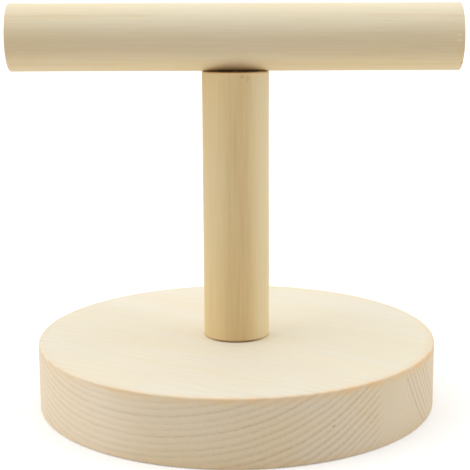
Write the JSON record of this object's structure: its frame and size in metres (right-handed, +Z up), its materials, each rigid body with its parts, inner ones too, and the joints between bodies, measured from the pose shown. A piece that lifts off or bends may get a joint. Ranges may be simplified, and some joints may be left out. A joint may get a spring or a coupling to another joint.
{
  "type": "parrot play stand",
  "caption": "Tabletop play stand for a small parrot: a round wooden perch on a round post, screwed to a thick wooden disc.",
  "frame": {"origin": "on the floor, under the middle of the disc", "axes": "+Z up along the post, +X along the perch"},
  "size_m": [0.12, 0.109, 0.109],
  "materials": {
    "disc_wood": "bare sanded softwood, cream faces and tan end grain",
    "post_wood": "bare sanded dowel, upright grain, tan",
    "perch_wood": "bare sanded dowel, long grain, pale cream",
    "screw_steel": "yellow zinc-plated steel"
  },
  "bodies": {
    "root": {"base_disc": "disc_wood", "post": "post_wood", "perch": "perch_wood", "base_screw": "screw_steel", "perch_screw": "screw_steel"}
  },
  "joints": []
}
